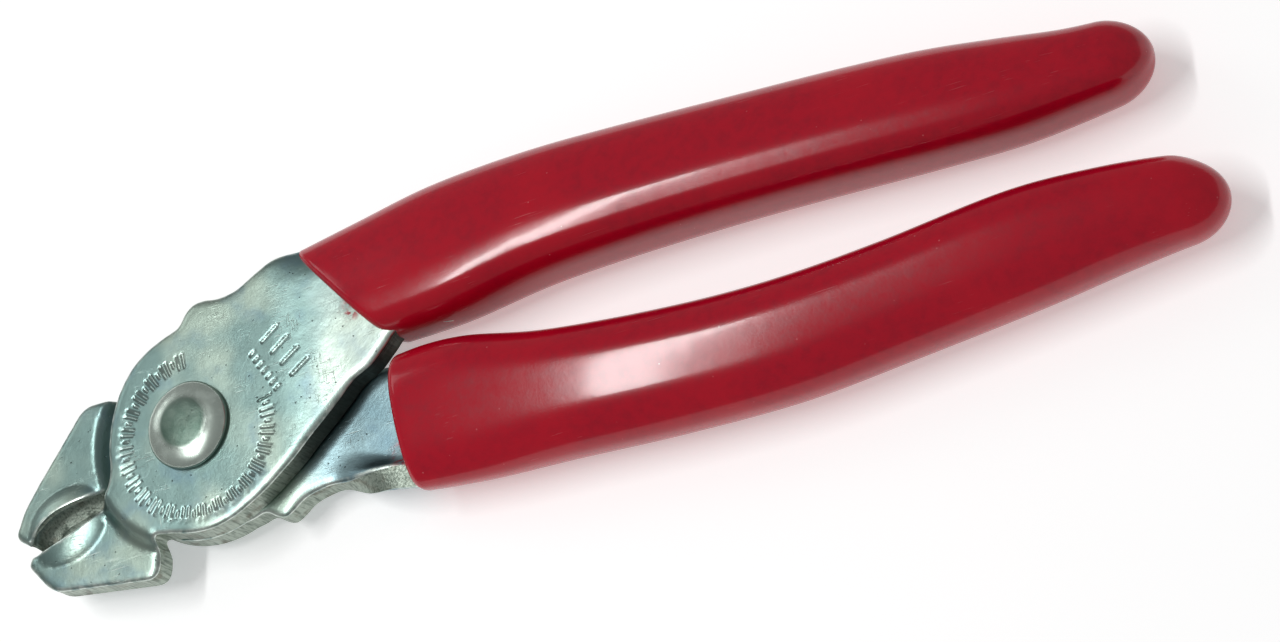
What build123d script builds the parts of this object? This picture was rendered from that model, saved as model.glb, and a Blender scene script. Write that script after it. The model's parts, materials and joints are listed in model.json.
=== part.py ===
from build123d import *
from math import cos, radians, sin
import os

# Fencing pliers: two stamped levers with side-angled jaws, riveted together, with sleeved handles.
# Millimetres. The pivot axis is Z, the handles run along +X and the tool lies on the plane Z = 0.

# ---- sheet and stack ----
SHEET = 4.0            # thickness of the steel sheet both levers are stamped from
PLATE_GAP = 0.1        # running gap between the two pivot plates
GRIP_CROWN = 3.0       # vinyl above and below the metal of a handle
CHANNEL_DEPTH = 2 * SHEET + PLATE_GAP
MID_Z = CHANNEL_DEPTH / 2 + GRIP_CROWN          # height of the plane both jaws share
REAR_BACK = MID_Z - CHANNEL_DEPTH / 2
REAR_FACE = REAR_BACK + SHEET
FRONT_BACK = REAR_FACE + PLATE_GAP
FRONT_FACE = FRONT_BACK + SHEET

# ---- pivot ----
PLATE_RADIUS = 16.0    # round plate about the pivot
RIVET_RADIUS = 5.0
RIVET_RUNNING = 0.05   # radial clearance of the rivet in the rear lever
RIVET_FLOAT = 0.05     # gap between the rivet's tail and the rear lever
HEAD_RADIUS = 6.7
HEAD_FLAT = 3.6        # radius of the flattened top
HEAD_HEIGHT = 2.6
RIVET_RIM = 0.8        # height of the straight rim of head and tail
TAIL_FLAT = 4.2

# ---- pressed step between plate and jaw ----
STEP_CLEARANCE = 0.5   # between a plate's edge and the step of the other lever's jaw
STEP_RUN = 2.6         # radial length of the step
STEP_START = PLATE_RADIUS + STEP_CLEARANCE
STEP_END = STEP_START + STEP_RUN
SHEET_REACH = 60.0     # radius of the blank the jaws are cut from

# ---- mouth ----
MOUTH_CENTRE = (-23.7, -8.5)
MOUTH_ANGLE = 17.0     # direction of the mouth, from X
MOUTH_LENGTH = 14.6
MOUTH_GAP = 1.8        # between the two tips at rest
MOUTH_HOLLOW = 1.4     # depth of each jaw's concave edge
GROOVE_RADIUS = 1.6    # ring groove along each jaw's edge
BULGE_HALF_LENGTH = 6.6
BULGE_HEIGHT = 3.4     # from the middle of the jaw to the top of its swelling

# ---- stop lugs ----
LUG_RADIUS = 3.0
LUG_STAND = 3.6        # how far a lug stands out past its plate
LUG_REACH = PLATE_RADIUS + LUG_STAND
FRONT_LUG_ANGLE = 80.0
REAR_LUG_ANGLE = -57.0
LUG_BLEND = 1.2
TOUCH = 0.03           # how close a corner lies to a curve that it belongs to

# ---- handles and grips ----
GRIP_LENGTH = 122.0
GRIP_WALL = 1.5        # vinyl on the two edges of a handle
TANG_SHARE = 0.9       # part of the grip's length that the metal fills
CORNER_SHARE = 0.78    # corner radius of a grip's section, of its smaller half size
FRONT_RIM = (28.0, 12.3)
FRONT_RIM_ANGLE = 37.0
FRONT_GRIP_START = 17.0
REAR_GRIP_START = 33.2
EDGE_STEP = 4.0        # least distance between two points of a handle's edge
NOSE_SHARE = 0.6       # how far a handle's rounded end stands out, of half its last width
FLANGE_RAMP = 9.0      # length over which a flange rises to its full height
FLANGE_REACH = 200.0   # past the far end of a handle, from where its flanges start
FRONT_FLANGE_START = (26.0, 14.0)
FRONT_FLANGE_ANGLE = 50.0
REAR_FLANGE_START = (30.0, -8.0)
REAR_FLANGE_ANGLE = -40.0

# Stations of a grip: share of its length, offset from X, width, share of the full depth.
FRONT_STATIONS = [
    (0.00, 14.2, 20.0, 0.80),
    (0.11, 14.9, 20.6, 0.86),
    (0.20, 15.4, 21.0, 0.94),
    (0.32, 16.4, 19.6, 1.00),
    (0.55, 15.1, 17.4, 1.00),
    (0.76, 13.1, 16.2, 1.00),
    (0.85, 11.7, 14.4, 0.96),
    (0.92, 11.1, 11.4, 0.84),
    (0.97, 11.3, 7.4, 0.60),
    (1.00, 11.4, 3.6, 0.30),
]
REAR_STATIONS = [
    (0.00, -8.3, 18.8, 0.80),
    (0.05, -8.6, 20.6, 0.88),
    (0.10, -9.2, 21.0, 0.94),
    (0.20, -11.2, 18.8, 1.00),
    (0.34, -12.9, 17.9, 1.00),
    (0.48, -13.7, 17.3, 1.00),
    (0.62, -12.8, 16.6, 1.00),
    (0.78, -11.2, 16.2, 1.00),
    (0.87, -10.9, 14.0, 0.94),
    (0.94, -11.1, 10.8, 0.78),
    (0.98, -11.8, 7.0, 0.52),
    (1.00, -12.2, 3.8, 0.30),
]


def polar(radius: float, angle: float) -> tuple:
    """Point at a radius and an angle in degrees about the pivot."""
    return (radius * cos(radians(angle)), radius * sin(radians(angle)))


def on_plate(share: float, angle: float) -> tuple:
    """Root of a handle's edge, inside the plate at a share of its radius."""
    return polar(PLATE_RADIUS * share, angle)


def mouth_point(along: float, across: float) -> tuple:
    """Point in the mouth's own directions, from its centre."""
    c, s = cos(radians(MOUTH_ANGLE)), sin(radians(MOUTH_ANGLE))
    return (MOUTH_CENTRE[0] + along * c - across * s, MOUTH_CENTRE[1] + along * s + across * c)


def mouth_radius() -> float:
    """Radius of the concave edge that spans the mouth."""
    return ((MOUTH_LENGTH / 2) ** 2 + MOUTH_HOLLOW ** 2) / (2 * MOUTH_HOLLOW)


def stations_of(stations: list, start: float, length: float) -> list:
    """Stations with their share of the length turned into a place along X."""
    return [(start + share * length, offset, width, depth) for share, offset, width, depth in stations]


FRONT_GRIP = stations_of(FRONT_STATIONS, FRONT_GRIP_START, GRIP_LENGTH + FRONT_RIM[0] - FRONT_GRIP_START)
REAR_GRIP = stations_of(REAR_STATIONS, REAR_GRIP_START, GRIP_LENGTH)


def tang_edge(grip: list, side: int, inset: float, beyond: float) -> list:
    """Points of an edge inside a grip, from past a place on X outwards, an inset away from its side."""
    reach = grip[0][0] + (grip[-1][0] - grip[0][0]) * TANG_SHARE
    inside = [station for station in grip if beyond + EDGE_STEP < station[0] < reach]
    return [(x, offset + side * (width / 2 - inset)) for x, offset, width, depth in inside]


# ---- outlines ----
def handle_face(grip: list, inset: float, upper_root: list, lower_root: list) -> Sketch:
    """Handle of one lever, or the hollow of its channel, seen from above, from its root outwards."""
    upper = upper_root + tang_edge(grip, 1, inset, upper_root[-1][0])
    lower = lower_root + tang_edge(grip, -1, inset, lower_root[-1][0])
    nose = NOSE_SHARE * (upper[-1][1] - lower[-1][1]) / 2
    tip = (upper[-1][0] + nose, (upper[-1][1] + lower[-1][1]) / 2)
    with BuildSketch() as face:
        with BuildLine():
            Spline(*upper)
            ThreePointArc(upper[-1], tip, lower[-1])
            Spline(*lower)
            Line(upper[0], lower[0])
        make_face()
    return face.sketch


FRONT_HANDLE = handle_face(
    FRONT_GRIP,
    GRIP_WALL,
    [on_plate(0.76, 80.5), (8.0, 18.0), (15.0, 20.6)],
    [on_plate(0.96, -93.7), (9.0, -14.0), (22.0, -4.8), (34.4, 4.8)],
)
FRONT_HOLLOW = handle_face(FRONT_GRIP, GRIP_WALL + SHEET, [(15.0, 16.4)], [(22.0, 2.0), (34.4, 9.6)])
REAR_HANDLE = handle_face(
    REAR_GRIP,
    GRIP_WALL,
    [on_plate(0.97, 54.5), (19.0, 6.4), (28.0, 0.9)],
    [on_plate(0.85, -73.0), (18.0, -13.6), (27.0, -15.8)],
)
REAR_HOLLOW = handle_face(REAR_GRIP, GRIP_WALL + SHEET, [(20.0, -3.0)], [(20.0, -9.6), (27.0, -11.7)])


def plate_face(handle: Sketch, lug_angle: float) -> Sketch:
    """Round plate, stop lug and handle of one lever, seen from above."""
    with BuildSketch() as face:
        Circle(PLATE_RADIUS)
        with Locations(polar(LUG_REACH - LUG_RADIUS, lug_angle)):
            Circle(LUG_RADIUS)
        add(handle)
        lug_point = Vector(*polar(LUG_REACH - LUG_RADIUS, lug_angle))
        notches = face.vertices().filter_by(lambda v: (Vector(v) - lug_point).length < LUG_RADIUS + TOUCH)
        fillet(notches, LUG_BLEND)
    return face.sketch


def mouth_ends(side: int) -> tuple:
    """Root, deepest point and tip of one jaw's concave edge."""
    across = side * MOUTH_GAP / 2
    return (
        mouth_point(MOUTH_LENGTH / 2, across),
        mouth_point(0, across + side * MOUTH_HOLLOW),
        mouth_point(-MOUTH_LENGTH / 2, across),
    )


def jaw_face(side: int, inside_root: tuple, outer: list, inside_heel: tuple, blends: list) -> Sketch:
    """Outline of one jaw: concave mouth edge, then the outer corners from the tip round to the heel."""
    root, deepest, tip = mouth_ends(side)
    with BuildSketch() as face:
        with BuildLine():
            Line(inside_root, root)
            ThreePointArc(root, deepest, tip)
            Polyline(tip, *outer, inside_heel)
            Line(inside_heel, inside_root)
        make_face()
        for corner, radius in zip(outer, blends):
            if radius:
                fillet(face.vertices().sort_by_distance(corner)[0], radius)
    return face.sketch


# Upper jaw, on the rear lever, and lower jaw, on the front lever.
UPPER_JAW = jaw_face(
    1,
    (-12.0, -4.0),
    [(-33.9, -8.0), (-31.6, -3.6), (-19.3, 8.7), (-13.8, 8.0)],
    (-8.0, 4.0),
    [1.4, 5.0, 2.2, 0],
)
LOWER_JAW = jaw_face(
    -1,
    (-12.0, -5.8),
    [(-30.9, -12.8), (-27.9, -18.1), (-9.2, -20.9), (-8.2, -14.4)],
    (-5.0, -10.0),
    [0.6, 1.8, 1.6, 0],
)


# ---- solids that the levers are joined from ----
def jaw_blank(plate_back: float, outline: Sketch) -> Part:
    """Sheet pressed from a plate's height to the middle of the tool, cut to a jaw's outline."""
    jaw_back = MID_Z - SHEET / 2
    with BuildPart() as blank:
        with BuildSketch(Plane.XZ):
            with BuildLine():
                Polyline(
                    (0, plate_back),
                    (STEP_START, plate_back),
                    (STEP_END, jaw_back),
                    (SHEET_REACH, jaw_back),
                    (SHEET_REACH, jaw_back + SHEET),
                    (STEP_END, jaw_back + SHEET),
                    (STEP_START, plate_back + SHEET),
                    (0, plate_back + SHEET),
                    close=True,
                )
            make_face()
        revolve(axis=Axis.Z)
        add(extrude(outline, amount=FRONT_FACE + SHEET, mode=Mode.PRIVATE), mode=Mode.INTERSECT)
    return blank.part


def jaw_bulge(outline: Sketch) -> Part:
    """Swelling of both faces of a jaw along its mouth."""
    middle = Plane(
        origin=(*MOUTH_CENTRE, MID_Z),
        x_dir=(cos(radians(MOUTH_ANGLE)), sin(radians(MOUTH_ANGLE)), 0),
        z_dir=(0, 0, 1),
    )
    with BuildPart() as bulge:
        with BuildSketch(middle):
            Ellipse(BULGE_HALF_LENGTH, BULGE_HEIGHT)
            with Locations((0, -BULGE_HEIGHT)):
                Rectangle(2 * BULGE_HALF_LENGTH, 2 * BULGE_HEIGHT, mode=Mode.SUBTRACT)
        revolve(axis=Axis(middle.origin, middle.x_dir))
        add(extrude(outline, amount=FRONT_FACE + SHEET, mode=Mode.PRIVATE), mode=Mode.INTERSECT)
    return bulge.part


def ring_groove(side: int) -> Part:
    """Round groove that a ring lies in, along one jaw's concave edge."""
    centre = mouth_point(0, side * (MOUTH_GAP / 2 + MOUTH_HOLLOW - mouth_radius()))
    with BuildPart() as groove:
        with Locations((*centre, MID_Z)):
            Torus(mouth_radius(), GROOVE_RADIUS)
    return groove.part


def flange_block(handle: Sketch, hollow: Sketch, start: tuple, start_angle: float, rise: int) -> Part:
    """Turned-up edges of a channel handle, rising along an oblique line in the plane of the tool.

    rise is 1 where they stand up from a web at the back, and -1 where they hang from one at the front.
    """
    low = REAR_BACK if rise > 0 else FRONT_FACE
    along = Vector(cos(radians(start_angle)), sin(radians(start_angle)), 0)
    ramp = Plane(origin=(*start, low), x_dir=along, z_dir=along.cross(Vector(0, 0, rise)))
    with BuildPart() as block:
        with BuildSketch(Plane.XY.offset(REAR_BACK)):
            add(handle)
            add(hollow, mode=Mode.SUBTRACT)
        extrude(amount=CHANNEL_DEPTH)
        with BuildSketch(ramp):
            with BuildLine():
                Polyline(
                    (-FLANGE_RAMP, -CHANNEL_DEPTH),
                    (2 * FLANGE_RAMP, 2 * CHANNEL_DEPTH),
                    (FLANGE_REACH, 2 * CHANNEL_DEPTH),
                    (FLANGE_REACH, -CHANNEL_DEPTH),
                    close=True,
                )
            make_face()
        extrude(amount=FLANGE_REACH, both=True, mode=Mode.INTERSECT)
    return block.part


def grip_shell(grip: list, handle: Sketch) -> Part:
    """Closed-end sleeve: a run of rounded sections with the handle's channel taken out."""
    full_depth = 2 * MID_Z
    with BuildPart() as shell:
        for x, middle, width, share in grip:
            depth = full_depth * share
            with BuildSketch(Plane(origin=(x, middle, MID_Z), x_dir=(0, 1, 0), z_dir=(1, 0, 0))):
                RectangleRounded(width, depth, CORNER_SHARE * min(width, depth) / 2)
        loft()
        with BuildSketch(Plane.XY.offset(REAR_BACK)):
            add(handle)
        extrude(amount=CHANNEL_DEPTH, mode=Mode.SUBTRACT)
    return shell.part


# ---- front lever: lower jaw, front plate, upper handle ----
with BuildPart() as front_lever:
    add(jaw_blank(FRONT_BACK, LOWER_JAW))
    add(jaw_bulge(LOWER_JAW))
    with BuildSketch(Plane.XY.offset(FRONT_BACK)):
        add(plate_face(FRONT_HANDLE, FRONT_LUG_ANGLE))
    extrude(amount=SHEET)
    add(flange_block(FRONT_HANDLE, FRONT_HOLLOW, FRONT_FLANGE_START, FRONT_FLANGE_ANGLE, -1))
    add(ring_groove(-1), mode=Mode.SUBTRACT)
    with Locations((0, 0, FRONT_FACE)):
        Hole(RIVET_RADIUS, SHEET)

# ---- rear lever: upper jaw, rear plate, lower handle ----
with BuildPart() as rear_lever:
    add(jaw_blank(REAR_BACK, UPPER_JAW))
    add(jaw_bulge(UPPER_JAW))
    with BuildSketch(Plane.XY.offset(REAR_BACK)):
        add(plate_face(REAR_HANDLE, REAR_LUG_ANGLE))
    extrude(amount=SHEET)
    add(flange_block(REAR_HANDLE, REAR_HOLLOW, REAR_FLANGE_START, REAR_FLANGE_ANGLE, 1))
    add(ring_groove(1), mode=Mode.SUBTRACT)
    with Locations((0, 0, REAR_FACE)):
        Hole(RIVET_RADIUS + RIVET_RUNNING, SHEET)

# ---- rivet: domed head on the front plate, matching tail that the tool lies on ----
with BuildPart() as pivot_rivet:
    tail_top = REAR_BACK - RIVET_FLOAT
    with BuildSketch(Plane.XZ):
        with BuildLine():
            Polyline(
                (0, 0),
                (TAIL_FLAT, 0),
                (HEAD_RADIUS, tail_top - RIVET_RIM),
                (HEAD_RADIUS, tail_top),
                (RIVET_RADIUS, tail_top),
                (RIVET_RADIUS, FRONT_FACE),
                (HEAD_RADIUS, FRONT_FACE),
                (HEAD_RADIUS, FRONT_FACE + RIVET_RIM),
                (HEAD_FLAT, FRONT_FACE + HEAD_HEIGHT),
                (0, FRONT_FACE + HEAD_HEIGHT),
                close=True,
            )
        make_face()
    revolve(axis=Axis.Z)

# ---- grips ----
upper_blank = grip_shell(FRONT_GRIP, FRONT_HANDLE)
rim = Plane(
    origin=(*FRONT_RIM, MID_Z),
    x_dir=(0, 0, 1),
    z_dir=(cos(radians(FRONT_RIM_ANGLE)), sin(radians(FRONT_RIM_ANGLE)), 0),
)
with BuildPart() as upper_grip:
    add(upper_blank)
    split(bisect_by=rim, keep=Keep.TOP)

with BuildPart() as lower_grip:
    add(grip_shell(REAR_GRIP, REAR_HANDLE))

os.makedirs("parts", exist_ok=True)
NODES = {
    "front_lever": front_lever,
    "rear_lever": rear_lever,
    "pivot_rivet": pivot_rivet,
    "upper_grip": upper_grip,
    "lower_grip": lower_grip,
}
for name, builder in NODES.items():
    builder.part.label = name
    export_step(builder.part, f"parts/{name}.step")
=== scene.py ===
"""Studio scene of fencing pliers: two stamped plated levers on one rivet, with thick vinyl sleeves."""

import json
import logging
import math
from dataclasses import dataclass, field
from enum import Enum
from typing import Iterable

import bpy
import numpy as np
from mathutils import Matrix, Vector, noise
from mathutils.geometry import delaunay_2d_cdt
from mathutils.kdtree import KDTree


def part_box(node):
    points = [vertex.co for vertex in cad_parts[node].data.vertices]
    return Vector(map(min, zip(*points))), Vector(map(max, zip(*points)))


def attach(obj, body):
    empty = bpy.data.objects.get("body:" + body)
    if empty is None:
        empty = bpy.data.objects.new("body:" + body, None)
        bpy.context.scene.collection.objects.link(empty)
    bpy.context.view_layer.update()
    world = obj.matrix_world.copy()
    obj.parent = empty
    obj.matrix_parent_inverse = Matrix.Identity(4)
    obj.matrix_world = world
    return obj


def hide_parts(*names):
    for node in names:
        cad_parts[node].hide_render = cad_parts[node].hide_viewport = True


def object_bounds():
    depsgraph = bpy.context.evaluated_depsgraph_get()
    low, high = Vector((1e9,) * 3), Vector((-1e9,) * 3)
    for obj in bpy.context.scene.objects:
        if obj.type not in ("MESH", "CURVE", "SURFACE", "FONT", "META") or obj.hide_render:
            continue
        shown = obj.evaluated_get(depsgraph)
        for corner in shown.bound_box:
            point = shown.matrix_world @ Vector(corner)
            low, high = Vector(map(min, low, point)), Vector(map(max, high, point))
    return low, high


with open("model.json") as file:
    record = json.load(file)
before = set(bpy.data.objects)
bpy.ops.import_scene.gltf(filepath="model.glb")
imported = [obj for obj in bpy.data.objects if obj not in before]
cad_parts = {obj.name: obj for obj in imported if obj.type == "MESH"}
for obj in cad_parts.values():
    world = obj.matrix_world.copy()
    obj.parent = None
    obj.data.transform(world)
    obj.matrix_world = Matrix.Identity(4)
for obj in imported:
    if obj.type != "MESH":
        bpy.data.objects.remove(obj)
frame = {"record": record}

MM = 0.001
CAD_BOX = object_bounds()
LOG = logging.getLogger("fencing_pliers")

Point = tuple[float, float]
Colour = tuple[float, float, float, float]


class Turn(Enum):
    """Which way the turned edges of a lever's channel point."""

    UP = 1
    DOWN = -1


# ---------------------------------------------------------------- plane geometry
def polar(radius: float, degrees: float) -> Point:
    """Point at a radius and an angle about the pivot."""
    return radius * math.cos(math.radians(degrees)), radius * math.sin(math.radians(degrees))


def arc(centre: Point, radius: float, start: float, end: float, step: float = 0.4) -> list[Point]:
    """Points along an arc.

    Args:
        centre: Centre of the arc, in millimetres.
        radius: Its radius, in millimetres.
        start: Angle of its first point, in degrees.
        end: Angle of its last point, in degrees.
        step: Distance between points, in millimetres.

    Returns:
        The points, first and last included.
    """
    count = max(3, int(abs(math.radians(end - start)) * radius / step))
    turns = [start + (end - start) * i / count for i in range(count + 1)]
    return [(centre[0] + polar(radius, a)[0], centre[1] + polar(radius, a)[1]) for a in turns]


def through(points: list[Point], step: float = 0.5) -> list[Point]:
    """Smooth curve through a few points.

    Args:
        points: Points that the curve passes, in millimetres.
        step: Distance between the points returned.

    Returns:
        Points along a centripetal Catmull-Rom curve.
    """
    pts = [np.array(p, float) for p in points]
    pts = [2 * pts[0] - pts[1], *pts, 2 * pts[-1] - pts[-2]]
    out: list[Point] = []
    for a, b, c, d in zip(pts, pts[1:], pts[2:], pts[3:]):
        t0 = 0.0
        t1 = t0 + math.sqrt(np.linalg.norm(b - a))
        t2 = t1 + math.sqrt(np.linalg.norm(c - b))
        t3 = t2 + math.sqrt(np.linalg.norm(d - c))
        count = max(2, int(np.linalg.norm(c - b) / step))
        for i in range(count):
            t = t1 + (t2 - t1) * i / count
            p1 = (t1 - t) / (t1 - t0) * a + (t - t0) / (t1 - t0) * b
            p2 = (t2 - t) / (t2 - t1) * b + (t - t1) / (t2 - t1) * c
            p3 = (t3 - t) / (t3 - t2) * c + (t - t2) / (t3 - t2) * d
            q1 = (t2 - t) / (t2 - t0) * p1 + (t - t0) / (t2 - t0) * p2
            q2 = (t3 - t) / (t3 - t1) * p2 + (t - t1) / (t3 - t1) * p3
            q = (t2 - t) / (t2 - t1) * q1 + (t - t1) / (t2 - t1) * q2
            out.append((float(q[0]), float(q[1])))
    out.append((float(pts[-2][0]), float(pts[-2][1])))
    return out


def rounded(
    corners: list[tuple[float, float, float]], parts: int = 8, least_cut: float = 0.02
) -> list[Point]:
    """Open run of straight lines with rounded corners.

    Args:
        corners: Each corner's place and radius, in millimetres. The ends stay as they are.
        parts: How many straight parts stand for a rounded corner.
        least_cut: Corners cut back by less than this stay sharp, in millimetres.

    Returns:
        Points along the run.
    """
    longest_cut = 0.49
    out: list[Point] = [corners[0][:2]]
    for before, corner, after in zip(corners, corners[1:], corners[2:]):
        p = np.array(corner[:2])
        u = np.array(before[:2]) - p
        v = np.array(after[:2]) - p
        reach = min(np.linalg.norm(u), np.linalg.norm(v)) * longest_cut
        u, v = u / np.linalg.norm(u), v / np.linalg.norm(v)
        half = math.acos(max(-1.0, min(1.0, float(u @ v)))) / 2
        cut = min(corner[2] / math.tan(half), reach) if corner[2] else 0.0
        if cut < least_cut:
            out.append((float(p[0]), float(p[1])))
            continue
        for i in range(parts + 1):
            t = i / parts
            q = (1 - t) ** 2 * (p + u * cut) + 2 * t * (1 - t) * p + t * t * (p + v * cut)
            out.append((float(q[0]), float(q[1])))
    out.append(corners[-1][:2])
    return out


def resample(points: list[Point], step: float, merge: float = 0.35) -> np.ndarray:
    """Closed outline with points no further apart than a step.

    Args:
        points: The outline's points in order.
        step: Largest distance between neighbours, in millimetres.
        merge: Share of the step within which neighbours become one point.

    Returns:
        The points as rows, without a repeated last point.
    """
    clean = [points[0]]
    for p in points[1:]:
        if math.dist(p, clean[-1]) > step * merge:
            clean.append(p)
    if math.dist(clean[0], clean[-1]) < step * merge:
        clean.pop()
    out = []
    for a, b in zip(clean, clean[1:] + clean[:1]):
        count = max(1, round(math.dist(a, b) / step))
        out += [(a[0] + (b[0] - a[0]) * i / count, a[1] + (b[1] - a[1]) * i / count) for i in range(count)]
    return np.array(out)


def nearest_corner(points: np.ndarray, loop: np.ndarray) -> np.ndarray:
    """Number of the outline's point that is nearest to each point.

    Args:
        points: Places to look at, as rows in millimetres.
        loop: The outline.

    Returns:
        The number of a point of the outline for each place.
    """
    tree = KDTree(len(loop))
    for i, (x, y) in enumerate(loop):
        tree.insert((x, y, 0), i)
    tree.balance()
    return np.array([tree.find((x, y, 0))[1] for x, y in points])


def edge_distance(points: np.ndarray, loop: np.ndarray) -> np.ndarray:
    """Distance of each point from a closed outline.

    Args:
        points: Places to look at, as rows in millimetres.
        loop: The outline.

    Returns:
        Distances in millimetres.
    """
    near = nearest_corner(points, loop)
    best = np.full(len(points), np.inf)
    for shift in (-1, 0):
        a, b = loop[(near + shift) % len(loop)], loop[(near + shift + 1) % len(loop)]
        d, rel = b - a, points - a
        t = np.clip((rel * d).sum(1) / (d * d).sum(1), 0, 1)
        best = np.minimum(best, np.hypot(*(rel - t[:, None] * d).T))
    return best


def inside(points: np.ndarray, loop: np.ndarray) -> np.ndarray:
    """True for each point that lies within a closed outline.

    Args:
        points: Places to look at, as rows in millimetres.
        loop: The outline.

    Returns:
        A truth value for each place.
    """
    x, y = points[:, 0], points[:, 1]
    result = np.zeros(len(points), bool)
    for (x0, y0), (x1, y1) in zip(loop, np.roll(loop, -1, axis=0)):
        crosses = (y0 > y) != (y1 > y)
        with np.errstate(divide="ignore", invalid="ignore"):
            result ^= crosses & (x < (x1 - x0) * (y - y0) / (y1 - y0) + x0)
    return result


def lattice(low: Point, high: Point, step: Point, stagger: float = 0.0) -> np.ndarray:
    """Rows of a grid's points, with every second line of it moved along by the stagger.

    Args:
        low: Lowest place of the grid.
        high: Where it stops.
        step: Distances between its lines.
        stagger: How far every second line is moved.

    Returns:
        The points as rows.
    """
    x, y = np.meshgrid(np.arange(low[0], high[0], step[0]), np.arange(low[1], high[1], step[1]))
    x[1::2] += stagger
    return np.stack([x, y], -1).reshape(-1, 2)


def smooth(value: np.ndarray | float, low: float, high: float) -> np.ndarray | float:
    """Zero below low, one above high and a smooth rise between them."""
    t = np.clip((value - low) / (high - low), 0, 1)
    return t * t * (3 - 2 * t)


def ripple(points: np.ndarray, scale: float, seed: float) -> np.ndarray:
    """Gentle noise between -1 and 1 at each point, for the unevenness of hand-finished surfaces."""
    return np.array([noise.noise(Vector((x * scale, y * scale, z * scale + seed))) for x, y, z in points])


def mesh_object(
    name: str, points: np.ndarray, faces: Iterable, sharp: float | None = None
) -> bpy.types.Object:
    """Makes a mesh object from points in millimetres.

    Args:
        name: The piece's name.
        points: Rows of x, y, z in millimetres.
        faces: Vertex numbers of each face.
        sharp: Edges steeper than this many degrees stay sharp, or None for a wholly smooth piece.

    Returns:
        The object, linked to the scene.
    """
    mesh = bpy.data.meshes.new(name)
    mesh.from_pydata((points * MM).tolist(), [], [tuple(f) for f in faces])
    mesh.validate()
    mesh.update()
    mesh.shade_smooth()
    if sharp is not None:
        mesh.set_sharp_from_angle(angle=math.radians(sharp))
    piece = bpy.data.objects.new(name, mesh)
    bpy.context.scene.collection.objects.link(piece)
    return piece


def tube_faces(rings: int, around: int) -> list[tuple[int, ...]]:
    """Faces of a tube made of closed rings, with a cap on each end.

    Args:
        rings: How many rings it has.
        around: How many points each ring has.

    Returns:
        Vertex numbers of each face.
    """
    faces: list[tuple[int, ...]] = []
    for i in range(rings - 1):
        for j in range(around):
            k = (j + 1) % around
            faces.append((i * around + j, i * around + k, (i + 1) * around + k, (i + 1) * around + j))
    faces.append(tuple(reversed(range(around))))
    faces.append(tuple(range((rings - 1) * around, rings * around)))
    return faces


def number_layer(piece: bpy.types.Object, name: str, values: np.ndarray) -> None:
    """Gives a mesh one number at each point, for its finish to read."""
    layer = piece.data.attributes.new(name, "FLOAT", "POINT")
    layer.data.foreach_set("value", values.astype(np.float32))


# ---------------------------------------------------------------- shader maths
class Socket:
    """An output socket that takes part in Python expressions, each of which adds a Math node."""

    def __init__(self, shader: "Shader", output: bpy.types.NodeSocket) -> None:
        """Wraps one output of a shader's node."""
        self.shader = shader
        self.output = output

    def _math(self, operation: str, first: "Socket | float", second: "Socket | float") -> "Socket":
        """Math node on two values."""
        return self.shader.node("ShaderNodeMath", {"operation": operation}, {0: first, 1: second})

    def __add__(self, other: "Socket | float") -> "Socket":
        """Sum."""
        return self._math("ADD", self, other)

    def __sub__(self, other: "Socket | float") -> "Socket":
        """Difference."""
        return self._math("SUBTRACT", self, other)

    def __rsub__(self, other: "Socket | float") -> "Socket":
        """Difference from a number."""
        return self._math("SUBTRACT", other, self)

    def __mul__(self, other: "Socket | float") -> "Socket":
        """Product."""
        return self._math("MULTIPLY", self, other)

    __radd__ = __add__
    __rmul__ = __mul__

    def rise(self, low: float, high: float) -> "Socket":
        """Zero at low, one at high, smooth between and clamped outside.

        Args:
            low: Value that becomes zero.
            high: Value that becomes one.

        Returns:
            The eased value.
        """
        settings = {"interpolation_type": "SMOOTHSTEP"}
        sockets = {"Value": self, "From Min": low, "From Max": high}
        return self.shader.node("ShaderNodeMapRange", settings, sockets)


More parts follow.
